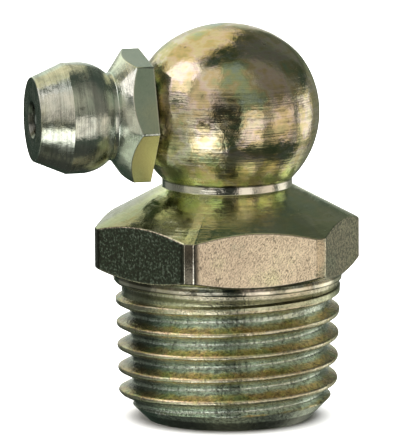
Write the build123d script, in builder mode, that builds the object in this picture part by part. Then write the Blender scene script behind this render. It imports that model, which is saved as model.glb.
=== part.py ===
from build123d import *

import os
from math import asin, cos, degrees, pi, radians, sin, sqrt, tan

# Right-angled hydraulic grease nipple: a one-piece steel body with a taper pipe
# thread, a hexagon and a turned ball, and a coupling head pressed into the ball's
# side. A light compression spring holds a check ball on its seat inside the head.
#
# Lengths are millimetres and angles degrees. +Z runs up the thread's axis from the
# face of its small end, which lies at Z 0, and the coupling head points along -X.

# --- taper thread of Whitworth form, its crests and roots cut flat ---
THREAD_LENGTH = 8.25
THREAD_PITCH = 1.337
THREAD_DEPTH = 0.856
THREAD_ROOT_FLAT = 0.223
FLANK_ANGLE = 27.5  # of each flank from the radial direction
GAUGE_DIAMETER = 13.157  # major diameter in the gauge plane
GAUGE_HEIGHT = 7.0  # of the gauge plane above the small end
TAPER = 1 / 16  # on diameter
GROOVE_ENTRY_ANGLE = -84.0  # from +X, where the groove's root would cross Z 0
GROOVE_ENTRY_TURNS = 0.25  # from there to where the groove's tool starts
GROOVE_SETBACK = 1.3  # from the start of the groove's fade up to the thread's end
GROOVE_FADE_TURNS = 1.08
GROOVE_OVERSHOOT = 0.1  # of the tool beyond the crests
TOOL_CLEARANCE = 0.15  # of the tool outside the collar

# --- small end and grease bore ---
SMALL_END_DIAMETER = 9.6
LEAD_CHAMFER_ANGLE = 45.0  # from the axis
BORE_DIAMETER = 3.6
BORE_COUNTERSINK = 0.3
BORE_OVERRUN = 0.9  # of its full diameter above the head's axis
DRILL_POINT_ANGLE = 118.0

# --- collar, hexagon and cone ---
COLLAR_DIAMETER = 13.4
COLLAR_LENGTH = 0.47
COLLAR_CHAMFER = 0.08
BODY_ACROSS_FLATS = 14.0
BODY_CORNER_DIAMETER = 15.8  # turned over the hexagon's corners
BODY_CORNER_LENGTH = 2.36
HEX_UNDERSIDE_ANGLE = 25.0  # slope of the lower corner chamfers
CONE_ANGLE = 28.5  # slope of the cone from the corners up to the neck

# --- neck and ball, whose top is flattened by a shoulder and a crown ---
NECK_DIAMETER = 7.62
NECK_LENGTH = 0.47
BALL_DIAMETER = 10.86
SHOULDER_RADIUS = 4.15
SHOULDER_START_ANGLE = 29.5  # up from the level of the ball's centre
CROWN_RADIUS = 5.9
SPOT_FACE_DEPTH = 0.53  # flat cut into the ball's side for the head

# --- coupling head, lengths along its own axis from the spot face ---
HEAD_ACROSS_FLATS = 7.0
HEAD_CORNER_DIAMETER = 8.02
HEAD_CORNER_LENGTH = 1.03
HEAD_HEX_TURN = 8.0  # how far a corner stands below the level of the head's axis
HEAD_FLARE_ANGLE = 54.0  # of the cone in front of the hexagon, from the axis
HEAD_NECK_DIAMETER = 5.14
HEAD_NECK_LENGTH = 0.25
HEAD_BACK_RADIUS = 2.4
HEAD_DIAMETER = 6.5
HEAD_LAND_LENGTH = 0.86
HEAD_CONE_LENGTH = 1.86
HEAD_FACE_DIAMETER = 4.92
HEAD_FACE_CHAMFER = 0.1  # along the face and along the axis
SHANK_DIAMETER = 4.0
SHANK_CHAMFER = 0.2
SHANK_SETBACK = 0.2  # from the grease bore's wall
PRESS_BORE_RELIEF = 0.3  # beyond the shank's end, where the drill's point starts

# --- valve inside the head ---
MOUTH_DIAMETER = 1.8
MOUTH_LENGTH = 0.5
MOUTH_COUNTERSINK = 0.2
SEAT_ANGLE = 30.0  # of the conical seat from the axis
VALVE_BORE_DIAMETER = 2.6
CHECK_BALL_DIAMETER = 2.38
CHECK_BALL_CLEARANCE = 0.01  # to the seat and to the spring
SPRING_LIP_DIAMETER = 1.7
SPRING_LIP_LENGTH = 0.35
SPRING_WIRE_DIAMETER = 0.34
SPRING_WIRE_SIDES = 6  # the fine wire's round section, as a hexagon
SPRING_TURNS = 4
SPRING_CLEARANCE = 0.1  # to the valve bore
SPRING_END_CLEARANCE = 0.01  # to the lip

PATH_STEPS = 24  # points in each turn of the groove's path


def polar(radius, angle):
    """The step from a centre to a point on its circle, in a profile's plane."""
    return Vector(radius * cos(radians(angle)), radius * sin(radians(angle)))


def crest_radius(height):
    """Radius of the thread's crests at a height."""
    return (GAUGE_DIAMETER + (height - GAUGE_HEIGHT) * TAPER) / 2


# --- heights and radii of the body ---
small_end_radius = SMALL_END_DIAMETER / 2
lead_slope = tan(radians(LEAD_CHAMFER_ANGLE))
lead_height = (crest_radius(0) - small_end_radius) / (lead_slope - TAPER / 2)
collar_radius = COLLAR_DIAMETER / 2
hex_bottom = THREAD_LENGTH + COLLAR_LENGTH
corner_radius = BODY_CORNER_DIAMETER / 2
underside_slope = tan(radians(HEX_UNDERSIDE_ANGLE))
corner_bottom = hex_bottom + (corner_radius - BODY_ACROSS_FLATS / 2) * underside_slope
corner_top = corner_bottom + BODY_CORNER_LENGTH
neck_radius = NECK_DIAMETER / 2
cone_top = corner_top + (corner_radius - neck_radius) * tan(radians(CONE_ANGLE))
neck_top = cone_top + NECK_LENGTH

# The ball, its shoulder and its crown are three arcs, each tangent to the next.
ball_radius = BALL_DIAMETER / 2
ball_drop = sqrt(ball_radius**2 - neck_radius**2)
head_height = neck_top + ball_drop
ball_centre = Vector(0, head_height)
shoulder_centre = ball_centre + polar(ball_radius - SHOULDER_RADIUS, SHOULDER_START_ANGLE)
crown_drop = sqrt((CROWN_RADIUS - SHOULDER_RADIUS) ** 2 - shoulder_centre.X**2)
crown_centre = Vector(0, shoulder_centre.Y - crown_drop)
crown_start_angle = degrees(asin(crown_drop / (CROWN_RADIUS - SHOULDER_RADIUS)))
ball_start_angle = -degrees(asin(ball_drop / ball_radius))

bore_radius = BORE_DIAMETER / 2
bore_top = head_height + BORE_OVERRUN
drill_slope = 1 / tan(radians(DRILL_POINT_ANGLE / 2))

# --- places along the head's axis, as distances from the thread's axis ---
spot_face = ball_radius - SPOT_FACE_DEPTH
head_corner_radius = HEAD_CORNER_DIAMETER / 2
head_corner_end = spot_face + HEAD_CORNER_LENGTH
head_neck_radius = HEAD_NECK_DIAMETER / 2
flare_end = head_corner_end + (head_corner_radius - head_neck_radius) / tan(radians(HEAD_FLARE_ANGLE))
back_start = flare_end + HEAD_NECK_LENGTH
head_radius = HEAD_DIAMETER / 2
back_depth = HEAD_BACK_RADIUS - (head_radius - head_neck_radius)
land_start = back_start + sqrt(HEAD_BACK_RADIUS**2 - back_depth**2)
cone_start = land_start + HEAD_LAND_LENGTH
head_face = cone_start + HEAD_CONE_LENGTH
face_radius = HEAD_FACE_DIAMETER / 2
cone_rise = HEAD_FACE_CHAMFER * (head_radius - face_radius) / HEAD_CONE_LENGTH
shank_radius = SHANK_DIAMETER / 2
shank_end = bore_radius + SHANK_SETBACK
press_bore_end = shank_end - PRESS_BORE_RELIEF

mouth_radius = MOUTH_DIAMETER / 2
mouth_end = head_face - MOUTH_LENGTH
valve_bore_radius = VALVE_BORE_DIAMETER / 2
seat_end = mouth_end - (valve_bore_radius - mouth_radius) / tan(radians(SEAT_ANGLE))
check_ball_radius = CHECK_BALL_DIAMETER / 2
check_ball_gap = check_ball_radius + CHECK_BALL_CLEARANCE
seat_offset = check_ball_gap - mouth_radius * cos(radians(SEAT_ANGLE))
check_ball_place = mouth_end - seat_offset / sin(radians(SEAT_ANGLE))

lip_radius = SPRING_LIP_DIAMETER / 2
lip_face = shank_end + SPRING_LIP_LENGTH
wire_radius = SPRING_WIRE_DIAMETER / 2
coil_radius = valve_bore_radius - SPRING_CLEARANCE - wire_radius
spring_start = lip_face + SPRING_END_CLEARANCE + wire_radius
spring_end = check_ball_place - sqrt((check_ball_gap + wire_radius) ** 2 - coil_radius**2)

head_axis = Axis((0, 0, head_height), (-1, 0, 0))
# In this plane x runs out along the head's axis and y is the distance from it.
head_plane = Plane(origin=(0, 0, head_height), x_dir=(-1, 0, 0), z_dir=(0, 1, 0))

# --- groove of the thread, the tool that cuts it out of the body ---
fade_start = (THREAD_LENGTH - GROOVE_SETBACK) / THREAD_PITCH
fade_end = fade_start + GROOVE_FADE_TURNS
fade_rise = collar_radius + TOOL_CLEARANCE - crest_radius(THREAD_LENGTH) + THREAD_DEPTH


def groove_point(turns):
    """A point of the groove's root, which climbs out of the body as it fades."""
    height = turns * THREAD_PITCH
    fade = max(0, turns - fade_start) / GROOVE_FADE_TURNS
    radius = crest_radius(height) - THREAD_DEPTH + fade_rise * fade
    angle = radians(GROOVE_ENTRY_ANGLE) + 2 * pi * turns
    return Vector(radius * cos(angle), radius * sin(angle), height)


groove_turns = fade_end - GROOVE_ENTRY_TURNS
groove_steps = round(groove_turns * PATH_STEPS)
groove_points = [
    groove_point(GROOVE_ENTRY_TURNS + groove_turns * step / groove_steps)
    for step in range(groove_steps + 1)
]
# The section stays upright because it keeps facing this stretch of the axis.
groove_guide = Edge.make_line((0, 0, groove_points[0].Z), (0, 0, groove_points[-1].Z))

with BuildLine() as groove_path:
    Spline(*groove_points)

entry_radius = Vector(groove_points[0].X, groove_points[0].Y, 0)
groove_plane = Plane(
    origin=groove_points[0],
    x_dir=entry_radius,
    z_dir=entry_radius.cross(Vector(0, 0, 1)),
)
root_half = THREAD_ROOT_FLAT / 2
tool_depth = THREAD_DEPTH + GROOVE_OVERSHOOT
mouth_half = root_half + tool_depth * tan(radians(FLANK_ANGLE))
tool_back = THREAD_DEPTH + collar_radius + TOOL_CLEARANCE - crest_radius(0)

with BuildPart() as groove:
    with BuildSketch(groove_plane):
        with BuildLine():
            Polyline(
                (0, root_half),
                (tool_depth, mouth_half),
                (tool_back, mouth_half),
                (tool_back, -mouth_half),
                (tool_depth, -mouth_half),
                (0, -root_half),
                close=True,
            )
        make_face()
    sweep(path=groove_path.wire(), binormal=groove_guide)

# --- hexagon, its corners on +X and -X, turned over its corners and its cone ---
with BuildPart() as hexagon:
    with BuildSketch(Plane.XY.offset(hex_bottom)):
        RegularPolygon(BODY_ACROSS_FLATS / 2, 6, major_radius=False)
    extrude(amount=cone_top - hex_bottom)
    with BuildSketch(Plane.XZ):
        with BuildLine():
            Polyline(
                (0, hex_bottom),
                (BODY_ACROSS_FLATS / 2, hex_bottom),
                (corner_radius, corner_bottom),
                (corner_radius, corner_top),
                (neck_radius, cone_top),
                (0, cone_top),
                close=True,
            )
        make_face()
    revolve(axis=Axis.Z, mode=Mode.INTERSECT)

# --- body ---
with BuildPart() as angle_body:
    # Threaded end and collar, then the neck and the ball.
    with BuildSketch(Plane.XZ):
        with BuildLine():
            side = CenterArc(
                ball_centre,
                ball_radius,
                ball_start_angle,
                SHOULDER_START_ANGLE - ball_start_angle,
            )
            CenterArc(
                shoulder_centre,
                SHOULDER_RADIUS,
                SHOULDER_START_ANGLE,
                crown_start_angle - SHOULDER_START_ANGLE,
            )
            crown = CenterArc(
                crown_centre,
                CROWN_RADIUS,
                crown_start_angle,
                90 - crown_start_angle,
            )
            Polyline(
                crown @ 1,
                (0, 0),
                (small_end_radius, 0),
                (small_end_radius + lead_height * lead_slope, lead_height),
                (crest_radius(THREAD_LENGTH), THREAD_LENGTH),
                (collar_radius - COLLAR_CHAMFER, THREAD_LENGTH),
                (collar_radius, THREAD_LENGTH + COLLAR_CHAMFER),
                (collar_radius, hex_bottom),
                (neck_radius, hex_bottom),
                side @ 0,
            )
        make_face()
    revolve(axis=Axis.Z)

    # The groove is cut before the hexagon is added, as its tool passes below it.
    add(groove.part, mode=Mode.SUBTRACT)
    add(hexagon.part)

    # Grease bore, with the cone that its drill leaves.
    with BuildSketch(Plane.XZ):
        with BuildLine():
            Polyline(
                (0, 0),
                (bore_radius + BORE_COUNTERSINK, 0),
                (bore_radius, BORE_COUNTERSINK),
                (bore_radius, bore_top),
                (0, bore_top + bore_radius * drill_slope),
                close=True,
            )
        make_face()
    revolve(axis=Axis.Z, mode=Mode.SUBTRACT)

    # Spot face and press bore for the head.
    with BuildSketch(head_plane):
        with BuildLine():
            Polyline(
                (press_bore_end - shank_radius * drill_slope, 0),
                (press_bore_end, shank_radius),
                (spot_face, shank_radius),
                (spot_face, head_corner_radius),
                (ball_radius, head_corner_radius),
                (ball_radius, 0),
                close=True,
            )
        make_face()
    revolve(axis=head_axis, mode=Mode.SUBTRACT)

angle_body.part.label = "angle_body"

# --- coupling head, turned from hexagon bar ---
with BuildPart() as nipple_head:
    with BuildSketch(Plane(origin=(-spot_face, 0, head_height), x_dir=(0, -1, 0), z_dir=(-1, 0, 0))):
        RegularPolygon(HEAD_ACROSS_FLATS / 2, 6, major_radius=False, rotation=-HEAD_HEX_TURN)
    extrude(amount=head_face - spot_face)

    with BuildSketch(head_plane):
        with BuildLine():
            back = RadiusArc((back_start, head_neck_radius), (land_start, head_radius), HEAD_BACK_RADIUS)
            Polyline(
                back @ 0,
                (flare_end, head_neck_radius),
                (head_corner_end, head_corner_radius),
                (spot_face, head_corner_radius),
                (spot_face, 0),
                (head_face, 0),
                (head_face, face_radius - HEAD_FACE_CHAMFER),
                (head_face - HEAD_FACE_CHAMFER, face_radius + cone_rise),
                (cone_start, head_radius),
                back @ 1,
            )
        make_face()
    revolve(axis=head_axis, mode=Mode.INTERSECT)

    # Shank, chamfered to enter the press bore.
    with BuildSketch(head_plane):
        with BuildLine():
            Polyline(
                (spot_face, 0),
                (spot_face, shank_radius),
                (shank_end + SHANK_CHAMFER, shank_radius),
                (shank_end, shank_radius - SHANK_CHAMFER),
                (shank_end, 0),
                close=True,
            )
        make_face()
    revolve(axis=head_axis)

    # Mouth, seat and valve bore, down to the lip that holds the spring.
    with BuildSketch(head_plane):
        with BuildLine():
            Polyline(
                (head_face, 0),
                (head_face, mouth_radius + MOUTH_COUNTERSINK),
                (head_face - MOUTH_COUNTERSINK, mouth_radius),
                (mouth_end, mouth_radius),
                (seat_end, valve_bore_radius),
                (lip_face, valve_bore_radius),
                (lip_face, lip_radius),
                (shank_end, lip_radius),
                (shank_end, 0),
                close=True,
            )
        make_face()
    revolve(axis=head_axis, mode=Mode.SUBTRACT)

nipple_head.part.label = "nipple_head"

# --- check ball, at rest against the seat ---
with BuildPart(head_plane * Pos(check_ball_place, 0, 0)) as check_ball:
    Sphere(check_ball_radius)

check_ball.part.label = "check_ball"

# --- valve spring, from the lip to the back of the ball ---
spring_length = spring_end - spring_start

with BuildPart() as valve_spring:
    with BuildLine():
        coil = Helix(
            spring_length / SPRING_TURNS,
            spring_length,
            coil_radius,
            center=(-spring_start, 0, head_height),
            direction=(-1, 0, 0),
        )
    with BuildSketch(Plane(origin=coil @ 0, z_dir=coil % 0)):
        RegularPolygon(wire_radius, SPRING_WIRE_SIDES)
    sweep(path=coil, is_frenet=True)

valve_spring.part.label = "valve_spring"

os.makedirs("parts", exist_ok=True)
export_step(angle_body.part, "parts/angle_body.step")
export_step(nipple_head.part, "parts/nipple_head.step")
export_step(check_ball.part, "parts/check_ball.step")
export_step(valve_spring.part, "parts/valve_spring.step")
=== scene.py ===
from math import atan2, cos, hypot, pi, radians, sin, sqrt, tan

import bmesh
import bpy
from mathutils import Matrix, Vector


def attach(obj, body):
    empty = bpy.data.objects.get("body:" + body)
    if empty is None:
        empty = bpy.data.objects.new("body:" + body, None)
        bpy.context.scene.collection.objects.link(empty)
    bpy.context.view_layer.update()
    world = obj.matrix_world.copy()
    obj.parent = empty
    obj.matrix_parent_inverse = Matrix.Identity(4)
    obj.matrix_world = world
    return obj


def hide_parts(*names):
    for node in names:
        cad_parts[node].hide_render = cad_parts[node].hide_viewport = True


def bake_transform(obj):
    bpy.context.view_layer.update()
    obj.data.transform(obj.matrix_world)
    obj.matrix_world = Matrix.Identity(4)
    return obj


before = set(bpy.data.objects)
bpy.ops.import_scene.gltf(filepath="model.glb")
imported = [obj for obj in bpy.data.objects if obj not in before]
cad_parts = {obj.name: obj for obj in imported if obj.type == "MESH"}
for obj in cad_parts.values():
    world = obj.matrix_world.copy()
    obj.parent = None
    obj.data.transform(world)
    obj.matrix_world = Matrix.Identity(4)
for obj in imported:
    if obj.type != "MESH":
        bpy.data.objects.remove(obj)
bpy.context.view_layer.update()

# Right-angled grease nipple: plated steel body with a taper thread, a hexagon and a
# turned ball, and a coupling head pressed into the ball's side.
#
# Outlines are in millimetres. A body outline gives (radius, height), a head outline
# (distance from the thread's axis, radius).

MM = 0.001

# --- camera ---
CAMERA_AZIMUTH = radians(-13.4)
CAMERA_ELEVATION = radians(9.8)
CAMERA_ROLL = radians(0.3)
CAMERA_DISTANCE = 450 * MM
CAMERA_REACH = 10
CAMERA_AIM = Vector((0, 0, 10 * MM))
FRAMING_RIGHT = -1.60 * MM
FRAMING_UP = 1.37 * MM
LENS = 617.6
SENSOR = 36

# --- thread and grease bore ---
THREAD_LENGTH = 8.25
THREAD_PITCH = 1.337
THREAD_DEPTH = 0.856
THREAD_ROUNDING = 0.1835
FLANK_ANGLE = 27.5
GAUGE_RADIUS = 6.5785
GAUGE_HEIGHT = 7.0
TAPER = 1 / 16
THREAD_ENTRY = radians(-84)
THREAD_FIRST_TURN = -1
THREAD_LAST_TURN = 7
FADE_START = 4.9
FADE_TURNS = 1.43
FADE_BLUNTING = 0.35
SMALL_END_RADIUS = 4.8
LEAD_SLOPE = 1.0
BORE_RADIUS = 1.8
BORE_COUNTERSINK = 0.3
BORE_OVERRUN = 0.9
DRILL_SLOPE = 1 / tan(radians(59))

# --- collar, hexagon, cone, neck and ball ---
COLLAR_RADIUS = 6.7
HEX_BOTTOM = 8.72
HEX_APOTHEM = 7.0
HEX_UNDERCUT = 0.05
HEX_RIM = 0.08
UNDERSIDE_SLOPE = tan(radians(25))
CORNER_RADIUS = 7.9
CORNER_BOTTOM = HEX_BOTTOM + (CORNER_RADIUS - HEX_APOTHEM) * UNDERSIDE_SLOPE
CORNER_TOP = CORNER_BOTTOM + 2.36
CORNER_INSIDE = 7.6
CONE_SLOPE = tan(radians(28.5))
NECK_RADIUS = 3.81
CONE_TOP = CORNER_TOP + (CORNER_RADIUS - NECK_RADIUS) * CONE_SLOPE
NECK_TOP = CONE_TOP + 0.47
BALL_RADIUS = 5.43
BALL_HEIGHT = NECK_TOP + sqrt(BALL_RADIUS**2 - NECK_RADIUS**2)
BALL_START = -45.44
SHOULDER_CENTRE = (1.114, BALL_HEIGHT + 0.63)
SHOULDER_RADIUS = 4.15
SHOULDER_START = 29.5
CROWN_CENTRE = (0, BALL_HEIGHT - 0.7194)
CROWN_RADIUS = 5.9
CROWN_START = 50.46

# --- coupling head ---
SPOT_FACE = 4.9
HEAD_APOTHEM = 3.5
HEAD_RIM = 0.035
HEAD_CORNER_RADIUS = 4.01
HEAD_CORNER_END = 5.93
FLARE_END = 6.976
HEAD_NECK_RADIUS = 2.57
BACK_START = 7.226
BACK_CENTRE = (8.900, 0.85)
BACK_RADIUS = 2.4
BACK_SWEEP = 44.2
CONE_START = 9.760
HEAD_RADIUS = 3.25
HEAD_FACE = 11.620
FACE_RADIUS = 2.46
HEAD_TURN = 8.0
SHANK_RADIUS = 2.0
SHANK_END = 2.0
SHANK_CHAMFER = 0.2
PRESS_BORE_END = 1.7
CUTTER_OVERRUN = 1
MOUTH_RADIUS = 0.9
MOUTH_COUNTERSINK = 0.2
MOUTH_END = 11.120
SEAT_END = 10.427
VALVE_BORE_RADIUS = 1.3
LIP_RADIUS = 0.85
LIP_FACE = 2.35

# --- check ball and spring ---
CHECK_BALL_PLACE = 10.279
CHECK_BALL_RADIUS = 1.19
COIL_RADIUS = 1.03
WIRE_RADIUS = 0.17
SPRING_START = 2.53
SPRING_END = 9.3755
SPRING_TURNS = 4

# --- fineness of the meshes ---
TURN_STEPS = 256
EDGE_STEPS = 4
EDGE_SHARE = 0.3
EDGE_RUN_IN = 1.6
ROUNDING_STEPS = 5
FLANK_STEPS = 5
BALL_STEPS = 30
SHOULDER_STEPS = 9
CROWN_STEPS = 20
BACK_STEPS = 12
WIRE_STEPS = 16
COIL_STEPS = 48
CHECK_BALL_SPLITS = 5
MERGE = 0.002
CROWDED = 0.02
SHARP_ANGLE = radians(35)
WIDEST_CURVED = 2

# --- finishes ---
MILLED = 1  # a flat's place among its piece's materials, after the turned finish
DRAWN_SLANT = (0, radians(-48), 0)
DRAWN_STRETCH = (1.3, 0.9, 0.8)
SHINE_STRETCH = 0.35
SHINE_TURN = 0.25
EDGE_BEND = (0.995, 0.93)
ZINC_WEAR = 0.10
RIM_WEAR_AND_HIGHLIGHT = 0.16
DENT_DEPTH = 0.035
GRAIN_DEPTH = 0.04

# --- noises: how many to the millimetre, finer layers, their share ---
LATHE_LINES = (1.0, 3.0, 0.7)
LATHE_WAVES = (1.0, 2.0, 0.5)
GRIME = (1.1, 5.0, 0.65)
DENTS = (1.3, 4.0, 0.6)
WARMTH = (0.60, 3.0, 0.6)
SPECKS = (5.0, 3.0, 0.7)
BODY_PATCHES = (0.26, 4.0, 0.6)
HEAD_PATCHES = (0.35, 4.0, 0.6)
DRAWN_GRAIN = (9.0, 2.0, 0.6)
FLAT_PATCHES = (0.28, 3.0, 0.6)
PITS = (6.5, 2.0, 0.5)
DIMPLES = (3.4, 2.0, 0.6)
SPARKLE = (6.4, 1.0, 0.5)
BALL_MARKS = (2.0, 4.0, 0.6)
WIRE_MARKS = (3.0, 4.0, 0.6)

# --- floor and lamp, in metres ---
FLOOR_REACH = 3
LAMP_WIDTH = 2.2
LAMP_HEIGHT = 1.1
LAMP_POWER = 65


# ---------------------------------------------------------------- camera
def place_camera():
    data = bpy.data.cameras.new("camera")
    data.lens = LENS
    data.sensor_width = SENSOR
    data.sensor_height = SENSOR
    data.clip_end = CAMERA_REACH
    camera = bpy.data.objects.new("camera", data)
    bpy.context.scene.collection.objects.link(camera)
    az, el = CAMERA_AZIMUTH, CAMERA_ELEVATION
    level = Vector((cos(az), sin(az), 0))
    back = Vector((sin(az) * cos(el), -cos(az) * cos(el), sin(el)))
    upright = back.cross(level)
    right = level * cos(CAMERA_ROLL) - upright * sin(CAMERA_ROLL)
    up = upright * cos(CAMERA_ROLL) + level * sin(CAMERA_ROLL)
    aim = CAMERA_AIM + right * FRAMING_RIGHT + up * FRAMING_UP
    camera.location = aim + back * CAMERA_DISTANCE
    camera.rotation_mode = "QUATERNION"
    camera.rotation_quaternion = Matrix((right, up, back)).transposed().to_quaternion()
    bpy.context.scene.camera = camera


place_camera()


# ---------------------------------------------------------------- outlines
def arc(centre, radius, start, end, steps):
    """Points of an arc, both ends included, as sharp corners of an outline."""
    points = []
    for step in range(steps + 1):
        angle = radians(start + (end - start) * step / steps)
        points.append((centre[0] + radius * cos(angle), centre[1] + radius * sin(angle), 0))
    return points


def eased(outline, closed=False):
    """An outline's points with each corner (x, y, edge radius) rounded to that radius."""
    points = []
    last = len(outline) - 1
    for index, (x, y, radius) in enumerate(outline):
        corner = Vector((x, y))
        if radius == 0 or (not closed and index in (0, last)):
            points.append(corner)
            continue
        before = Vector(outline[index - 1][:2]) - corner
        after = Vector(outline[(index + 1) % len(outline)][:2]) - corner
        half = before.angle(after) / 2
        room = EDGE_SHARE * min(before.length, after.length)
        reach = min(radius / tan(half), room)
        radius = reach * tan(half)
        before.normalize()
        after.normalize()
        middle = corner + (before + after).normalized() * (radius / sin(half))
        start = corner + before * reach - middle
        end = corner + after * reach - middle
        points.append(corner + before * reach * EDGE_RUN_IN)
        for step in range(EDGE_STEPS + 1):
            points.append(middle + start.slerp(end, step / EDGE_STEPS).normalized() * radius)
        points.append(corner + after * reach * EDGE_RUN_IN)
    return points


def on_body(point):
    return Vector((point[0] * cos(THREAD_ENTRY), point[0] * sin(THREAD_ENTRY), point[1]))


def on_head(point):
    return Vector((-point[0], 0, BALL_HEIGHT - point[1]))


BODY_AXIS = (Vector((0, 0, 0)), Vector((0, 0, 1)))
HEAD_AXIS = (Vector((0, 0, BALL_HEIGHT)), Vector((-1, 0, 0)))


# ---------------------------------------------------------------- shop work
def turn(points, place, axis, closed=False):
    """Turn an outline round an axis, as on a lathe."""
    mesh = bmesh.new()
    corners = [mesh.verts.new(place(point)) for point in points]
    edges = [mesh.edges.new(pair) for pair in zip(corners, corners[1:])]
    if closed:
        edges.append(mesh.edges.new((corners[-1], corners[0])))
    bmesh.ops.spin(
        mesh,
        geom=corners + edges,
        cent=axis[0],
        axis=axis[1],
        angle=2 * pi,
        steps=TURN_STEPS,
        use_merge=True,
    )
    return mesh


def joined(parts):
    """One mesh out of several, each of which is used up."""
    whole = bmesh.new()
    for part in parts:
        data = bpy.data.meshes.new("part")
        part.to_mesh(data)
        part.free()
        whole.from_mesh(data)
        bpy.data.meshes.remove(data)
    return whole


def close_up(mesh):
    """Merge doubled points at seams and poles, and turn every face outwards."""
    bmesh.ops.remove_doubles(mesh, verts=mesh.verts, dist=MERGE)
    bmesh.ops.dissolve_degenerate(mesh, edges=mesh.edges, dist=MERGE / 2)
    bmesh.ops.recalc_face_normals(mesh, faces=mesh.faces)


def mill_flats(mesh, axis, directions, apothem):
    """Mill a hexagon: cut along each plane and close the cut with one flat face."""
    for direction in directions:
        cut = bmesh.ops.bisect_plane(
            mesh,
            geom=mesh.verts[:] + mesh.edges[:] + mesh.faces[:],
            dist=MERGE / 4,
            plane_co=axis[0] + direction * apothem,
            plane_no=direction,
            clear_outer=True,
        )
        rim = [part for part in cut["geom_cut"] if isinstance(part, bmesh.types.BMEdge)]
        for flat in bmesh.ops.holes_fill(mesh, edges=rim, sides=0)["faces"]:
            flat.material_index = MILLED


def milled(mesh):
    return [face for face in mesh.faces if face.material_index == MILLED]


def ease_rims(mesh, axis, corner_radius, width):
    """Take the sharp edge off every milled flat's rim and every corner's two ends.

    Dictionaries keep their order, so that the mesh comes out the same every time.
    """
    crowded = dict.fromkeys(vert for flat in milled(mesh) for vert in flat.verts)
    bmesh.ops.remove_doubles(mesh, verts=list(crowded), dist=CROWDED)
    rims = dict.fromkeys(edge for flat in milled(mesh) for edge in flat.edges)
    for edge in mesh.edges:
        reach = min((vert.co - axis[0]).cross(axis[1]).length for vert in edge.verts)
        if reach > corner_radius - CROWDED and edge.calc_face_angle(0) > SHARP_ANGLE / 2:
            rims[edge] = None
    bmesh.ops.bevel(
        mesh,
        geom=list(rims),
        offset=width,
        affect="EDGES",
        segments=2,
        profile=0.5,
        material=-1,
    )


def shade(data):
    """Shade curved surfaces smooth, milled flats flat and corners sharp."""
    data.set_sharp_from_angle(angle=SHARP_ANGLE)
    curved = [face.area < WIDEST_CURVED * MM**2 for face in data.polygons]
    data.polygons.foreach_set("use_smooth", curved)


def as_object(mesh, name):
    """An object of the mesh, which is used up."""
    data = bpy.data.meshes.new(name)
    mesh.to_mesh(data)
    mesh.free()
    made = bpy.data.objects.new(name, data)
    bpy.context.scene.collection.objects.link(made)
    return made


def in_metres(mesh, name):
    """An object of the millimetre mesh, which is used up."""
    bmesh.ops.scale(mesh, vec=(MM, MM, MM), verts=mesh.verts)
    return as_object(mesh, name)


def finish_piece(mesh, name, body, node, materials):
    """Make the millimetre mesh a piece of the object, in metres."""
    piece = in_metres(mesh, name)
    shade(piece.data)
    for material in materials:
        piece.data.materials.append(material)
    if body:
        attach(piece, body)
    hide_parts(node)
    return piece


# ---------------------------------------------------------------- thread
def thread_section():
    """One pitch of the thread from crest to crest, as (height, depth)."""
    sweep = radians(90 - FLANK_ANGLE)
    crest, root = [], []
    for step in range(ROUNDING_STEPS + 1):
        angle = sweep * step / ROUNDING_STEPS
        side, drop = THREAD_ROUNDING * sin(angle), THREAD_ROUNDING * (1 - cos(angle))
        crest.append((side - THREAD_PITCH / 2, drop))
        root.insert(0, (-side, THREAD_DEPTH - drop))
    start, end = Vector(crest[-1]), Vector(root[0])
    flank = [tuple(start.lerp(end, step / FLANK_STEPS)) for step in range(1, FLANK_STEPS)]
    lower = crest + flank + root
    upper = [(-height, depth) for height, depth in reversed(lower[:-1])]
    return lower + upper


def crest_radius(height):
    return GAUGE_RADIUS + (height - GAUGE_HEIGHT) * TAPER / 2


def thread_depth(section, share, height):
    """Depth of the groove below the crests, at a share of a turn and a height.

    Where the thread runs out the die's blunt lead teeth leave the groove wide but shallow.
    """
    turns = round(height / THREAD_PITCH - share) + share
    place = height - turns * THREAD_PITCH
    fade = max(0, turns - FADE_START) / FADE_TURNS
    for (low, shallow), (high, deep) in zip(section, section[1:]):
        if place <= high:
            break
    depth = shallow + (deep - shallow) * (place - low) / (high - low)
    blunted = depth - FADE_BLUNTING * THREAD_DEPTH * fade
    return max(0, min(blunted, THREAD_DEPTH * (1 - fade)))


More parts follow.
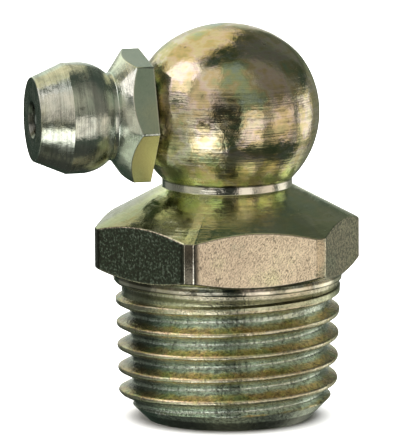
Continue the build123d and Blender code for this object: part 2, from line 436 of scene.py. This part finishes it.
def cut_thread():
    """Wind one pitch's section up the small end, then fit it to the taper and the ends."""
    mesh = bmesh.new()
    section = thread_section()
    corners = []
    for height, depth in section:
        place = on_body((GAUGE_RADIUS - depth, height + THREAD_FIRST_TURN * THREAD_PITCH))
        corners.append(mesh.verts.new(place))
    edges = [mesh.edges.new(pair) for pair in zip(corners, corners[1:])]
    bmesh.ops.spin(
        mesh,
        geom=corners + edges,
        cent=BODY_AXIS[0],
        axis=BODY_AXIS[1],
        dvec=(0, 0, THREAD_PITCH / TURN_STEPS),
        angle=2 * pi,
        steps=TURN_STEPS,
    )
    first_turn = mesh.verts[:] + mesh.edges[:] + mesh.faces[:]
    for turn_number in range(1, THREAD_LAST_TURN - THREAD_FIRST_TURN):
        copied = bmesh.ops.duplicate(mesh, geom=first_turn)["geom"]
        wound = [part for part in copied if isinstance(part, bmesh.types.BMVert)]
        bmesh.ops.translate(mesh, vec=(0, 0, turn_number * THREAD_PITCH), verts=wound)
    for vert in mesh.verts:
        x, y, height = vert.co
        share = (atan2(y, x) - THREAD_ENTRY) / (2 * pi) % 1
        share = round(share * TURN_STEPS) / TURN_STEPS
        depth = thread_depth(section, share, height)
        if height > THREAD_LENGTH:
            depth = min(depth, thread_depth(section, share, THREAD_LENGTH))
        height = min(max(height, 0), THREAD_LENGTH)
        radius = min(crest_radius(height) - depth, SMALL_END_RADIUS + height * LEAD_SLOPE)
        angle = THREAD_ENTRY + 2 * pi * share
        vert.co = (radius * cos(angle), radius * sin(angle), height)
    return mesh


# ---------------------------------------------------------------- body
BODY_HEXAGON = [Vector((cos(radians(a)), sin(radians(a)), 0)) for a in range(-90, 270, 60)]
FRONT_FLAT = BODY_HEXAGON[0]
SHADED_FLAT = BODY_HEXAGON[5]


def body_outline():
    """Collar, hexagon bar, cone, neck and ball, from the thread's end to the crown."""
    ball = arc((0, BALL_HEIGHT), BALL_RADIUS, BALL_START, SHOULDER_START, BALL_STEPS)
    shoulder = arc(
        SHOULDER_CENTRE, SHOULDER_RADIUS, SHOULDER_START, CROWN_START, SHOULDER_STEPS
    )
    crown = arc(CROWN_CENTRE, CROWN_RADIUS, CROWN_START, 90, CROWN_STEPS)
    return eased([
        (crest_radius(THREAD_LENGTH), THREAD_LENGTH, 0),
        (COLLAR_RADIUS, THREAD_LENGTH, 0.07),
        (COLLAR_RADIUS, HEX_BOTTOM, 0.04),
        (HEX_APOTHEM - HEX_UNDERCUT, HEX_BOTTOM, 0.04),
        (CORNER_RADIUS, CORNER_BOTTOM, 0),
        (CORNER_RADIUS, CORNER_TOP, 0),
        (NECK_RADIUS, CONE_TOP, 0.06),
        (NECK_RADIUS, NECK_TOP, 0),
    ] + ball[1:] + shoulder[1:] + crown[1:])


def bore_outline():
    return eased([
        (0, BALL_HEIGHT + BORE_OVERRUN + BORE_RADIUS * DRILL_SLOPE, 0),
        (BORE_RADIUS, BALL_HEIGHT + BORE_OVERRUN, 0),
        (BORE_RADIUS, BORE_COUNTERSINK, 0.05),
        (BORE_RADIUS + BORE_COUNTERSINK, 0, 0.05),
        (SMALL_END_RADIUS, 0, 0),
    ])


def press_bore_cutter():
    """The drill and spot-facing tool for the head's seat in the ball's side."""
    mesh = turn([
        (PRESS_BORE_END - SHANK_RADIUS * DRILL_SLOPE, 0),
        (PRESS_BORE_END, SHANK_RADIUS),
        (SPOT_FACE, SHANK_RADIUS),
        (SPOT_FACE, HEAD_CORNER_RADIUS),
        (BALL_RADIUS + CUTTER_OVERRUN, HEAD_CORNER_RADIUS),
        (BALL_RADIUS + CUTTER_OVERRUN, 0),
    ], on_head, HEAD_AXIS)
    close_up(mesh)
    return in_metres(mesh, "press_bore_cutter")


def cut_press_bore(piece):
    """Drill the ball's side, and leave the piece a plain mesh again."""
    cutter = press_bore_cutter()
    cut = piece.modifiers.new("press_bore", "BOOLEAN")
    cut.operation = "DIFFERENCE"
    cut.solver = "MANIFOLD"
    cut.object = cutter
    depsgraph = bpy.context.evaluated_depsgraph_get()
    piece.data = bpy.data.meshes.new_from_object(piece.evaluated_get(depsgraph))
    piece.modifiers.clear()
    bpy.data.objects.remove(cutter)
    shade(piece.data)


def make_body(materials):
    mesh = joined([
        cut_thread(),
        turn(bore_outline(), on_body, BODY_AXIS),
        turn(body_outline(), on_body, BODY_AXIS),
    ])
    close_up(mesh)
    mill_flats(mesh, BODY_AXIS, BODY_HEXAGON, HEX_APOTHEM)
    ease_rims(mesh, BODY_AXIS, CORNER_RADIUS, HEX_RIM)
    for face in mesh.faces:
        middle = face.calc_center_median()
        outermost = hypot(middle.x, middle.y) > CORNER_INSIDE
        if outermost and CORNER_BOTTOM < middle.z < CORNER_TOP:
            face.material_index = MILLED
    piece = finish_piece(mesh, "plated_body", None, "angle_body", materials)
    cut_press_bore(piece)
    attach(piece, "fitting")


# ---------------------------------------------------------------- head
def head_outline():
    back = arc(BACK_CENTRE, BACK_RADIUS, 90 + BACK_SWEEP, 90, BACK_STEPS)
    return eased([
        (SPOT_FACE, SHANK_RADIUS, 0),
        (SPOT_FACE, HEAD_CORNER_RADIUS, 0),
        (HEAD_CORNER_END, HEAD_CORNER_RADIUS, 0),
        (FLARE_END, HEAD_NECK_RADIUS, 0.1),
        (BACK_START, HEAD_NECK_RADIUS, 0.1),
    ] + back[1:] + [
        (CONE_START, HEAD_RADIUS, 0.06),
        (HEAD_FACE, FACE_RADIUS, 0.08),
        (HEAD_FACE, MOUTH_RADIUS + MOUTH_COUNTERSINK, 0.03),
        (HEAD_FACE - MOUTH_COUNTERSINK, MOUTH_RADIUS, 0.03),
        (MOUTH_END, MOUTH_RADIUS, 0),
        (SEAT_END, VALVE_BORE_RADIUS, 0),
        (LIP_FACE, VALVE_BORE_RADIUS, 0),
        (LIP_FACE, LIP_RADIUS, 0),
        (SHANK_END, LIP_RADIUS, 0),
        (SHANK_END, SHANK_RADIUS - SHANK_CHAMFER, 0),
        (SHANK_END + SHANK_CHAMFER, SHANK_RADIUS, 0),
    ], closed=True)


def head_hexagon():
    angles = [radians(30 - HEAD_TURN + 60 * side) for side in range(6)]
    return [Vector((0, -cos(angle), sin(angle))) for angle in angles]


def make_head(materials):
    mesh = turn(head_outline(), on_head, HEAD_AXIS, closed=True)
    close_up(mesh)
    mill_flats(mesh, HEAD_AXIS, head_hexagon(), HEAD_APOTHEM)
    ease_rims(mesh, HEAD_AXIS, HEAD_CORNER_RADIUS, HEAD_RIM)
    finish_piece(mesh, "coupling_head", "fitting", "nipple_head", materials)


# ---------------------------------------------------------------- valve
def make_check_ball(materials):
    mesh = bmesh.new()
    bmesh.ops.create_icosphere(mesh, subdivisions=CHECK_BALL_SPLITS, radius=CHECK_BALL_RADIUS)
    bmesh.ops.translate(mesh, vec=(-CHECK_BALL_PLACE, 0, BALL_HEIGHT), verts=mesh.verts)
    finish_piece(mesh, "steel_check_ball", "check", "check_ball", materials)


def make_spring(materials):
    mesh = bmesh.new()
    wire = bmesh.ops.create_circle(
        mesh, cap_ends=True, radius=WIRE_RADIUS, segments=WIRE_STEPS
    )["verts"]
    upright = Matrix.Rotation(pi / 2, 3, "X")
    bmesh.ops.rotate(mesh, verts=wire, cent=(0, 0, 0), matrix=upright)
    start = Vector((-SPRING_START, 0, BALL_HEIGHT - COIL_RADIUS))
    bmesh.ops.translate(mesh, vec=start, verts=wire)
    steps = SPRING_TURNS * COIL_STEPS
    bmesh.ops.spin(
        mesh,
        geom=mesh.verts[:] + mesh.edges[:] + mesh.faces[:],
        cent=HEAD_AXIS[0],
        axis=HEAD_AXIS[1],
        dvec=HEAD_AXIS[1] * ((SPRING_END - SPRING_START) / steps),
        angle=2 * pi * SPRING_TURNS,
        steps=steps,
    )
    bmesh.ops.recalc_face_normals(mesh, faces=mesh.faces)
    spring = finish_piece(mesh, "coil_spring", None, "valve_spring", materials)
    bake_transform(spring)


# ---------------------------------------------------------------- finishes
class Nodes:
    """Shader nodes of one tree, made as they are worked out."""

    def __init__(self, tree):
        self.tree = tree

    def feed(self, socket, value):
        if isinstance(value, bpy.types.NodeSocket):
            self.tree.links.new(value, socket)
        else:
            socket.default_value = value

    def node(self, kind, inputs, **settings):
        made = self.tree.nodes.new(kind)
        for name, value in settings.items():
            setattr(made, name, value)
        for name, value in inputs.items():
            self.feed(made.inputs[name], value)
        return made

    def math(self, operation, *values):
        made = self.node("ShaderNodeMath", dict(enumerate(values)), operation=operation)
        return made.outputs[0]

    def plus(self, first, second):
        return self.math("ADD", first, second)

    def minus(self, first, second):
        return self.math("SUBTRACT", first, second)

    def times(self, first, *others):
        for other in others:
            first = self.math("MULTIPLY", first, other)
        return first

    def line(self, value, slope, start):
        return self.math("MULTIPLY_ADD", value, slope, start)

    def wander(self, value, noise, reach):
        """A value carried up and down by a noise, by up to half the reach each way."""
        return self.line(self.minus(noise, 0.5), reach, value)

    def vector(self, operation, *values, **named):
        inputs = dict(enumerate(values)) | named
        made = self.node("ShaderNodeVectorMath", inputs, operation=operation)
        return made.outputs["Value" if operation in ("DOT_PRODUCT", "LENGTH") else "Vector"]

    def split(self, value):
        return self.node("ShaderNodeSeparateXYZ", {"Vector": value}).outputs

    def between(self, value, low, high):
        """0 at one value and 1 at the other, eased between them."""
        inputs = {"Value": value, "From Min": low, "From Max": high}
        made = self.node("ShaderNodeMapRange", inputs, interpolation_type="SMOOTHSTEP")
        return made.outputs[0]

    def within(self, value, start, rise, fall, end):
        """1 from the rise to the fall and 0 outside start and end, eased between them."""
        return self.times(self.between(value, start, rise), self.between(value, end, fall))

    def near(self, distance, reach, edge):
        """1 where a signed distance is less than the reach, with a soft edge."""
        away = self.math("ABSOLUTE", distance)
        return self.between(away, reach + edge / 2, reach - edge / 2)

    def noise(self, where, scale, detail, roughness, along=0.0):
        inputs = {
            "Vector": where,
            "W": along,
            "Scale": scale,
            "Detail": detail,
            "Roughness": roughness,
        }
        return self.node("ShaderNodeTexNoise", inputs, noise_dimensions="4D").outputs[0]

    def blend(self, share, first, second):
        made = self.node("ShaderNodeMix", {}, data_type="RGBA")
        for place, value in ((0, share), (6, first), (7, second)):
            self.feed(made.inputs[place], (*value, 1) if isinstance(value, tuple) else value)
        return made.outputs[2]

    def cover(self, color, marks):
        """Lay marks over a colour in turn, each as (where, strength, the mark's colour)."""
        for where, strength, mark in marks:
            color = self.blend(self.times(where, strength), color, mark)
        return color

    def bands(self, value, stops):
        """Colours at places along a value, blended between."""
        made = self.node("ShaderNodeValToRGB", {"Fac": value})
        ramp = made.color_ramp
        while len(ramp.elements) < len(stops):
            ramp.elements.new(0.5)
        for element, (place, color) in zip(ramp.elements, stops):
            element.position = place
            element.color = (*color, 1)
        return made.outputs[0]


class Metal(Nodes):
    """A metal finish and what the shape says at each place on it."""

    def __init__(self, name):
        self.material = bpy.data.materials.new(name)
        self.material.use_nodes = True
        super().__init__(self.material.node_tree)
        self.shader = self.tree.nodes["Principled BSDF"]
        self.shader.inputs["Metallic"].default_value = 1.0
        coordinates = self.node("ShaderNodeTexCoord", {})
        self.place = self.vector("SCALE", coordinates.outputs["Object"], Scale=1 / MM)
        self.facing = coordinates.outputs["Normal"]

    def give(self, socket, value):
        self.feed(self.shader.inputs[socket], value)

    def upward(self):
        return self.split(self.facing)[2]

    def along_edges(self, width):
        """1 along the edges of the shape and 0 away from them."""
        rounded = self.node("ShaderNodeBevel", {"Radius": width * MM}, samples=6).outputs[0]
        true = self.node("ShaderNodeNewGeometry", {}).outputs["Normal"]
        return self.between(self.vector("DOT_PRODUCT", rounded, true), *EDGE_BEND)

    def bump(self, height, distance, under=None, share=1.0):
        inputs = {"Height": height, "Distance": distance * MM, "Strength": share}
        if under:
            inputs["Normal"] = under
        return self.node("ShaderNodeBump", inputs).outputs[0]


GOLD = (0.74, 0.62, 0.36)
PALE_GOLD = (0.82, 0.76, 0.56)
BLUSH = (0.83, 0.70, 0.60)
OLIVE = (0.52, 0.50, 0.28)
LEAF = (0.58, 0.64, 0.38)
SEA_GREY = (0.50, 0.60, 0.52)
DARK = (0.05, 0.05, 0.04)
RED_BROWN_DARK = (0.30, 0.20, 0.18)
FLAT_SHADE_GREEN = (0.08, 0.19, 0.12)
SHADE_GLINT = (0.50, 0.60, 0.51)
SHADED_FLANK = (0.62, 0.62, 0.38)
ROOT_GREY = (0.70, 0.81, 0.72)
WORN_CREST_HIGHLIGHT = (0.98, 0.92, 0.74)
WORN_ZINC = (0.90, 0.86, 0.74)
WORN_RIM_HIGHLIGHT = (0.96, 0.92, 0.82)
CONE_LIME = (0.86, 0.94, 0.60)
NECK_HIGHLIGHT = (0.78, 0.74, 0.69)
BALL_CONE_REFLECTION = (0.62, 0.72, 0.30)
BRIGHT_FLARE = (0.97, 0.96, 0.86)
LIT_UNDERNEATH = (1.0, 0.98, 0.60)
BALL_STEEL = (0.66, 0.66, 0.66)
SPRING_STEEL = (0.5, 0.5, 0.48)

BODY_TINTS = [
    (0.30, SEA_GREY),
    (0.38, LEAF),
    (0.45, GOLD),
    (0.51, PALE_GOLD),
    (0.56, BLUSH),
    (0.62, GOLD),
    (0.70, OLIVE),
]
HEAD_TINTS = [
    (0.25, (0.58, 0.68, 0.60)),
    (0.42, (0.72, 0.78, 0.71)),
    (0.54, (0.84, 0.88, 0.80)),
    (0.66, (0.74, 0.79, 0.69)),
    (0.80, (0.64, 0.66, 0.50)),
]
BODY_FLAT_TINTS = [
    (0.34, (0.62, 0.64, 0.48)),
    (0.45, (0.74, 0.63, 0.47)),
    (0.55, (0.82, 0.71, 0.53)),
    (0.66, (0.80, 0.75, 0.50)),
]
HEAD_FLAT_TINTS = [
    (0.36, (0.36, 0.46, 0.38)),
    (0.50, (0.42, 0.50, 0.42)),
    (0.66, (0.52, 0.56, 0.42)),
]
LIT_FLANK_TINTS = [
    (0.36, (0.62, 0.74, 0.40)),
    (0.44, (1.0, 0.88, 0.40)),
    (0.51, (1.0, 0.72, 0.42)),
    (0.57, (0.80, 0.70, 0.40)),
    (0.64, (1.0, 0.94, 0.62)),
]
# Painted highlights and shade in bands along the thread's run-out: 0 at its start and 1 at the
# hexagon's underside.
RUN_OUT_LIGHT_AND_SHADE = [
    (0.04, (0.62, 0.66, 0.46)),
    (0.20, (0.70, 0.74, 0.54)),
    (0.31, (0.14, 0.16, 0.09)),
    (0.43, (0.14, 0.16, 0.09)),
    (0.50, (0.80, 0.78, 0.62)),
    (0.60, (0.85, 0.80, 0.66)),
    (0.65, (0.10, 0.11, 0.07)),
    (0.70, (0.10, 0.11, 0.07)),
    (0.73, (0.98, 0.93, 0.80)),
    (0.82, (0.98, 0.93, 0.80)),
    (0.87, DARK),
    (1.00, DARK),
]

# Where stains, wear and painted light and shade lie, in millimetres. A pair is where one is 0
# and where it is 1.
# Four are where it starts, is whole, begins to fade and ends.
FOOT_EDGE = (0.64, 0.50)
WORN_HIGHLIGHT_EDGE = (7.7, 7.5)
CREST_EDGE = (0.055, 0.01)
ROOT_EDGE = (0.40, 0.70)
DEEP_EDGE = (0.1, 0.6)
THREAD_EDGE = (THREAD_LENGTH + 0.05, THREAD_LENGTH - 0.05)
RUN_OUT_START = 7.35
RUN_OUT = (RUN_OUT_START, RUN_OUT_START + 0.1, HEX_BOTTOM + 0.2, HEX_BOTTOM + 0.3)
CONE = (CORNER_BOTTOM, CORNER_TOP, CONE_TOP, NECK_TOP)
LOW_BALL = (14.1, 14.3, 14.8, 16.4)
UPPER_BALL = (BALL_HEIGHT + 0.8, BALL_HEIGHT + 3.2)
SEAT_EDGE = (0.35 - SPOT_FACE, 0.12 - SPOT_FACE)
HEAD_SIDE_SHADE_EDGE = (-3.8, -5.2)
HEAD_SIDE_SHADE_SHIFT = 0.7
FLARE = (6.0, 6.2, 6.75, 6.95)
FACE_EDGE = (HEAD_FACE - 0.05, HEAD_FACE - 0.01)
MOUTH_RIM = (1.25, 1.0)
MOUTH_INSIDE = (10.8, 11.0)
LAND_EDGE = (CORNER_RADIUS - 0.16, CORNER_RADIUS - 0.06)
LAND_SIDE = (2.0, 0.0)
DARKER_SIDE = (2.0, -3.5)


class TurnedZinc(Metal):
    """Passivated zinc over lathe marks, whose grain runs round the turning axis."""

    def __init__(self, name, axis, tints, patches):
        super().__init__(name)
        centred = self.vector("SUBTRACT", self.place, axis[0])
        self.along = self.vector("DOT_PRODUCT", centred, axis[1])
        self.round_axis = self.vector("CROSS_PRODUCT", axis[1], centred)
        self.radius = self.vector("LENGTH", self.round_axis)
        run = self.minus(self.along, self.times(self.radius, 0.5))
        slow = self.vector("SCALE", self.place, Scale=0.22)
        self.fine = self.noise(slow, *LATHE_LINES, along=self.times(run, 9.0))
        self.broad = self.noise(slow, *LATHE_WAVES, along=self.times(run, 2.6))
        patchy = self.noise(self.place, *patches, along=self.times(run, 0.35))
        self.grime = self.noise(self.place, *GRIME)
        self.lined = self.between(self.grime, 0.30, 0.62)
        varied = self.wander(self.wander(0.5, patchy, 1.7), self.broad, 0.2)
        self.color = self.bands(varied, tints)

    def dirty(self):
        """Dirt in the lathe marks and in patches, and zinc worn off along the edges."""
        marks = self.between(self.fine, 0.60, 0.34)
        self.color = self.cover(self.color, [
            (marks, self.times(self.lined, 0.45), DARK),
            (self.between(self.grime, 0.60, 0.72), 0.7, DARK),
            (self.along_edges(ZINC_WEAR), 0.7, WORN_ZINC),
        ])

    def polish(self, roughness, line_depth, grain=None):
        """Roughness, the shine's direction and relief, and the colour as it now is."""
        self.give("Base Color", self.color)
        dulled = self.times(self.between(self.grime, 0.45, 0.7), 0.18)
        self.give("Roughness", self.plus(roughness, dulled))
        self.shader.inputs["Anisotropic"].default_value = SHINE_STRETCH
        self.shader.inputs["Anisotropic Rotation"].default_value = SHINE_TURN
        self.give("Tangent", self.vector("NORMALIZE", self.round_axis))
        lines = self.plus(self.fine, self.times(self.broad, 1.2))
        relief = self.bump(lines, line_depth, share=self.lined)
        relief = self.bump(self.noise(self.place, *DENTS), DENT_DEPTH, relief)
        if grain:
            relief = self.bump(grain, GRAIN_DEPTH, relief)
        self.give("Normal", relief)
        return self.material


def body_zinc():
    """The body's plating: golden, grey-green, worn bright or grimy by its place, with painted
    highlights, reflections and shade.
    """
    zinc = TurnedZinc("yellow_passivated_zinc", BODY_AXIS, BODY_TINTS, BODY_PATCHES)
    side, _, height = zinc.split(zinc.place)
    upper_ball = zinc.between(height, *UPPER_BALL)
    zinc.lined = zinc.times(zinc.lined, zinc.line(upper_ball, -0.8, 1.0))
    zinc.dirty()

    crest = zinc.line(zinc.minus(height, GAUGE_HEIGHT), TAPER / 2, GAUGE_RADIUS)
    depth = zinc.minus(crest, zinc.radius)
    threaded = zinc.between(height, *THREAD_EDGE)
    warm = zinc.noise(zinc.place, *WARMTH)
    specks = zinc.noise(zinc.place, *SPECKS)
    speckled = zinc.times(zinc.between(specks, 0.54, 0.36), 0.62)

    upward = zinc.between(zinc.upward(), -0.4, 0.4)
    flank = zinc.blend(upward, SHADED_FLANK, zinc.bands(warm, LIT_FLANK_TINTS))
    in_root = zinc.between(zinc.wander(depth, zinc.grime, 0.9), *ROOT_EDGE)
    flank = zinc.blend(in_root, flank, ROOT_GREY)
    # Worn crests with a painted highlight along them, on the cleaner lower turns.
    on_crest = zinc.between(depth, *CREST_EDGE)
    rubbed_crest_highlight = zinc.times(on_crest, zinc.between(zinc.grime, 0.70, 0.42))
    rubbed_crest_highlight = zinc.times(rubbed_crest_highlight, zinc.between(height, *WORN_HIGHLIGHT_EDGE))
    zinc.color = zinc.cover(zinc.color, [
        (threaded, 0.88, flank),
        (threaded, speckled, DARK),
        (rubbed_crest_highlight, 0.7, WORN_CREST_HIGHLIGHT),
    ])

    reached = zinc.minus(zinc.wander(height, warm, 0.12), RUN_OUT_START)
    up_collar = zinc.math("DIVIDE", reached, HEX_BOTTOM - RUN_OUT_START)
    # Painted bands of highlight and shade up the run-out and collar, broken by the specks.
    run_out_light_and_shade = zinc.times(zinc.within(height, *RUN_OUT), zinc.line(speckled, -0.5, 1.0))
    # Painted shade along the bottom edge, broken by the grime noise.
    foot_shade = zinc.times(zinc.between(height, *FOOT_EDGE), zinc.between(zinc.grime, 0.25, 0.45))
    # A painted highlight round the neck.
    neck = zinc.near(zinc.minus(height, (CONE_TOP + NECK_TOP) / 2), 0.21, 0.06)
    # Painted shade in the crease where the neck meets the ball.
    groove = zinc.near(zinc.minus(height, NECK_TOP + 0.03), 0.08, 0.06)
    # A painted green reflection of the cone on the ball's lower part, in patches.
    low_ball_reflection = zinc.times(zinc.within(height, *LOW_BALL), zinc.between(warm, 0.40, 0.56))
    # Painted shade on the ball where the head is pressed in.
    seat = zinc.times(zinc.between(side, *SEAT_EDGE), zinc.between(height, CONE_TOP, NECK_TOP))
    # Painted shade on the head's side of the body below the neck, deeper in the thread's
    # roots.
    head_side_shade = zinc.between(zinc.line(threaded, HEAD_SIDE_SHADE_SHIFT, side), *HEAD_SIDE_SHADE_EDGE)
    head_side_shade = zinc.times(head_side_shade, zinc.between(height, NECK_TOP, CONE_TOP))
    deep = zinc.times(threaded, zinc.between(depth, *DEEP_EDGE))
    zinc.color = zinc.cover(zinc.color, [
        (run_out_light_and_shade, 0.85, zinc.bands(up_collar, RUN_OUT_LIGHT_AND_SHADE)),
        (foot_shade, 0.8, DARK),
        (zinc.within(height, *CONE), 0.6, CONE_LIME),
        (neck, 0.8, NECK_HIGHLIGHT),
        (groove, 0.8, DARK),
        (low_ball_reflection, 0.7, BALL_CONE_REFLECTION),
        (seat, 0.85, DARK),
        (head_side_shade, zinc.line(deep, 0.30, 0.50), DARK),
    ])
    grain = zinc.times(specks, zinc.line(threaded, 0.9, 0.1))
    return zinc.polish(zinc.line(threaded, 0.03, 0.12), 0.028, grain)


def head_zinc():
    """The head's plating: brushed, with painted shade in the mouth, on the face and below,
    bright on the flare.
    """
    zinc = TurnedZinc("brushed_head_zinc", HEAD_AXIS, HEAD_TINTS, HEAD_PATCHES)
    zinc.dirty()
    # Painted shade inside the mouth, on the front face and on the downward-facing side.
    mouth = zinc.between(zinc.along, *MOUTH_INSIDE)
    mouth = zinc.times(zinc.between(zinc.radius, *MOUTH_RIM), mouth)
    zinc.color = zinc.cover(zinc.color, [
        (zinc.between(zinc.along, *FACE_EDGE), 0.55, DARK),
        (mouth, 0.9, DARK),
        (zinc.between(zinc.upward(), -0.2, -0.7), 0.45, DARK),
        (zinc.within(zinc.along, *FLARE), 0.7, BRIGHT_FLARE),
    ])
    return zinc.polish(0.20, 0.016)


class DrawnFlat(Metal):
    """The bar's own drawn surface on a flat: slanting grain, pits and worn edges with a
    painted highlight.
    """

    def __init__(self, name, tints, pitted):
        super().__init__(name)
        slanted = self.node(
            "ShaderNodeMapping",
            {"Vector": self.place, "Rotation": DRAWN_SLANT, "Scale": DRAWN_STRETCH},
            vector_type="TEXTURE",
        ).outputs[0]
        self.pitted = pitted
        self.grain = self.noise(slanted, *DRAWN_GRAIN)
        self.pits = self.noise(self.place, *PITS)
        patches = self.noise(self.place, *FLAT_PATCHES)
        dimples = self.noise(self.place, *DIMPLES)
        mottle = self.plus(self.times(patches, 0.8), self.times(self.grain, 0.2))
        self.color = self.cover(self.bands(mottle, tints), [
            (self.between(self.pits, 0.66, 0.76), 0.6 * pitted, DARK),
            (self.between(self.grain, 0.52, 0.34), 0.22 * pitted, DARK),
            (self.between(dimples, 0.52, 0.40), 0.14 * pitted, DARK),
        ])

    def polish(self, depth):
        """Worn rims with a painted highlight, roughness and relief, over the colour as it now
        is.
        """
        # Worn rims, with a painted highlight along them.
        rim = (self.along_edges(RIM_WEAR_AND_HIGHLIGHT), 0.9, WORN_RIM_HIGHLIGHT)
        self.give("Base Color", self.cover(self.color, [rim]))
        self.give("Roughness", self.plus(0.13, self.times(self.grain, 0.10)))
        sunk = self.times(self.between(self.pits, 0.62, 0.74), 0.6 * self.pitted)
        self.give("Normal", self.bump(self.minus(self.grain, sunk), depth))
        return self.material


def body_flat():
    """The body's flats: painted dark shade with painted glints on the head's side, speckled
    beside, painted shade on the corner lands.
    """
    flat = DrawnFlat("drawn_bar_flat", BODY_FLAT_TINTS, 1.0)
    side = flat.split(flat.place)[0]
    sparkle = flat.noise(flat.place, *SPARKLE)
    # The flat on the head's side is painted dark green as shade, with painted glints speckled
    # over it.
    flat_shade = flat.vector("DOT_PRODUCT", flat.facing, SHADED_FLAT)
    flat_shade = flat.between(flat_shade, 0.90, 0.97)
    shade_glints = flat.times(flat_shade, flat.between(sparkle, 0.54, 0.66))
    beside = flat.vector("DOT_PRODUCT", flat.facing, FRONT_FLAT)
    beside = flat.times(flat.between(beside, 0.90, 0.60), flat.between(sparkle, 0.56, 0.42))
    # Painted shade on the corner lands on the head's side.
    reach = flat.vector("LENGTH", flat.vector("MULTIPLY", flat.place, (1, 1, 0)))
    land_shade = flat.times(flat.between(reach, *LAND_EDGE), flat.between(side, *LAND_SIDE))
    flat.color = flat.cover(flat.color, [
        (flat_shade, 0.88, FLAT_SHADE_GREEN),
        (shade_glints, 0.88, SHADE_GLINT),
        (beside, 0.6, DARK),
        # Darker and redder towards the head's side.
        (flat.between(side, *DARKER_SIDE), 0.20, RED_BROWN_DARK),
        (land_shade, 0.88, DARK),
    ])
    return flat.polish(0.022)


def head_flat():
    """The head's flats: less pitted, and brighter where they face down."""
    flat = DrawnFlat("head_bar_flat", HEAD_FLAT_TINTS, 0.2)
    underneath = (flat.between(flat.upward(), -0.3, -0.6), 0.85, LIT_UNDERNEATH)
    flat.color = flat.cover(flat.color, [underneath])
    return flat.polish(0.012)


def polished_steel(name, color, roughness, wear):
    """Bright steel with faint wear marks."""
    steel = Metal(name)
    marks = steel.noise(steel.place, *wear)
    steel.give("Base Color", steel.blend(steel.between(marks, 0.5, 0.8), color, DARK))
    steel.give("Roughness", steel.plus(roughness, steel.times(marks, 0.1)))
    return steel.material


make_body([body_zinc(), body_flat()])
make_head([head_zinc(), head_flat()])
make_check_ball([polished_steel("polished_ball_steel", BALL_STEEL, 0.08, BALL_MARKS)])
make_spring([polished_steel("bright_spring_steel", SPRING_STEEL, 0.22, WIRE_MARKS)])


# ---------------------------------------------------------------- studio
def lay_floor():
    mesh = bmesh.new()
    bmesh.ops.create_grid(mesh, x_segments=1, y_segments=1, size=FLOOR_REACH)
    floor = as_object(mesh, "floor")
    paint = bpy.data.materials.new("pale_floor")
    paint.use_nodes = True
    shader = paint.node_tree.nodes["Principled BSDF"]
    shader.inputs["Base Color"].default_value = (0.86, 0.86, 0.86, 1)
    shader.inputs["Roughness"].default_value = 0.8
    floor.data.materials.append(paint)
    floor.visible_glossy = False
    floor.visible_shadow = False


# Soft light as the tent round the object gives it: azimuth and elevation of each
# panel's middle, its half width and half height, its soft edge, strength and colour.
PANELS = [
    (0, -75, 200, 32, 12, 0.07, (0.94, 1.0, 0.84)),
    (0, -90, 200, 15, 8, 0.28, (1.0, 1.0, 0.70)),
    (188, -36, 50, 10, 8, 0.62, (0.88, 1.0, 0.78)),
    (40, -34, 26, 9, 6, 0.60, (1.0, 1.0, 0.80)),
    (150, -4, 26, 14, 10, 0.16, (0.95, 1.0, 0.86)),
    (196, -4, 20, 13, 8, 0.55, (1.0, 1.0, 0.82)),
    (-90, 45, 40, 30, 24, 0.40, (1.0, 0.98, 0.78)),
    (-25, 40, 36, 34, 24, 0.18, (1.0, 0.96, 0.80)),
    (30, 48, 34, 26, 20, 0.09, (0.88, 1.0, 0.84)),
    (-134, 33, 20, 33, 10, 0.75, (1.0, 0.90, 0.78)),
    (104, 22, 22, 14, 8, 1.00, (0.93, 1.0, 0.80)),
    (126, -4, 12, 26, 8, 0.25, (0.93, 1.0, 0.86)),
    (112, 52, 44, 21, 8, 0.80, (1.0, 0.90, 0.60)),
    (175, 42, 27, 20, 10, 1.5, (1.0, 0.94, 0.92)),
    (80, 6, 12, 20, 10, 0.75, (0.96, 1.0, 0.90)),
    (52, 26, 14, 14, 10, 0.13, (0.92, 1.0, 0.84)),
    (13, -8, 15, 14, 8, 1.20, (1.0, 0.98, 0.86)),
    (46, -8, 17, 16, 8, 0.23, (0.92, 1.0, 0.78)),
    (-29, -9, 18, 15, 7, 0.88, (1.0, 0.88, 0.72)),
    (-71, -12, 15, 19, 7, 1.15, (1.0, 0.92, 0.82)),
    (-132, -29, 21, 14, 8, 1.9, (1.0, 0.98, 0.92)),
    (-137, -9, 13, 6, 6, 0.06, (0.9, 1.0, 0.85)),
    (-103, 6, 20, 21, 12, 0.035, (0.9, 1.0, 0.85)),
]
ROOM = (0.040, 0.060, 0.044)


def hang_tent():
    world = bpy.data.worlds.new("studio")
    world.use_nodes = True
    tent = Nodes(world.node_tree)
    facing = tent.node("ShaderNodeTexCoord", {}).outputs["Generated"]
    elevation = tent.times(tent.math("ARCSINE", tent.split(facing)[2]), 180 / pi)
    light = ROOM
    for azimuth, height, half_width, half_height, edge, strength, color in PANELS:
        angle = radians(azimuth)
        ahead = tent.vector("DOT_PRODUCT", facing, (cos(angle), sin(angle), 0))
        aside = tent.vector("DOT_PRODUCT", facing, (-sin(angle), cos(angle), 0))
        turned = tent.times(tent.math("ARCTAN2", aside, ahead), 180 / pi)
        wide = tent.near(turned, half_width, edge)
        tall = tent.near(tent.minus(elevation, height), half_height, edge)
        panel = tuple(strength * part for part in color)
        light = tent.blend(tent.times(wide, tall), light, panel)
    tent.feed(world.node_tree.nodes["Background"].inputs["Color"], light)
    bpy.context.scene.world = world
    bpy.context.scene.view_settings.view_transform = "Standard"


def hang_lamp():
    data = bpy.data.lights.new("floor_light", "AREA")
    data.shape = "DISK"
    data.size = LAMP_WIDTH
    data.energy = LAMP_POWER
    lamp = bpy.data.objects.new("floor_light", data)
    bpy.context.scene.collection.objects.link(lamp)
    lamp.location = (0, 0, LAMP_HEIGHT)
    lamp.visible_glossy = False


lay_floor()
hang_tent()
hang_lamp()
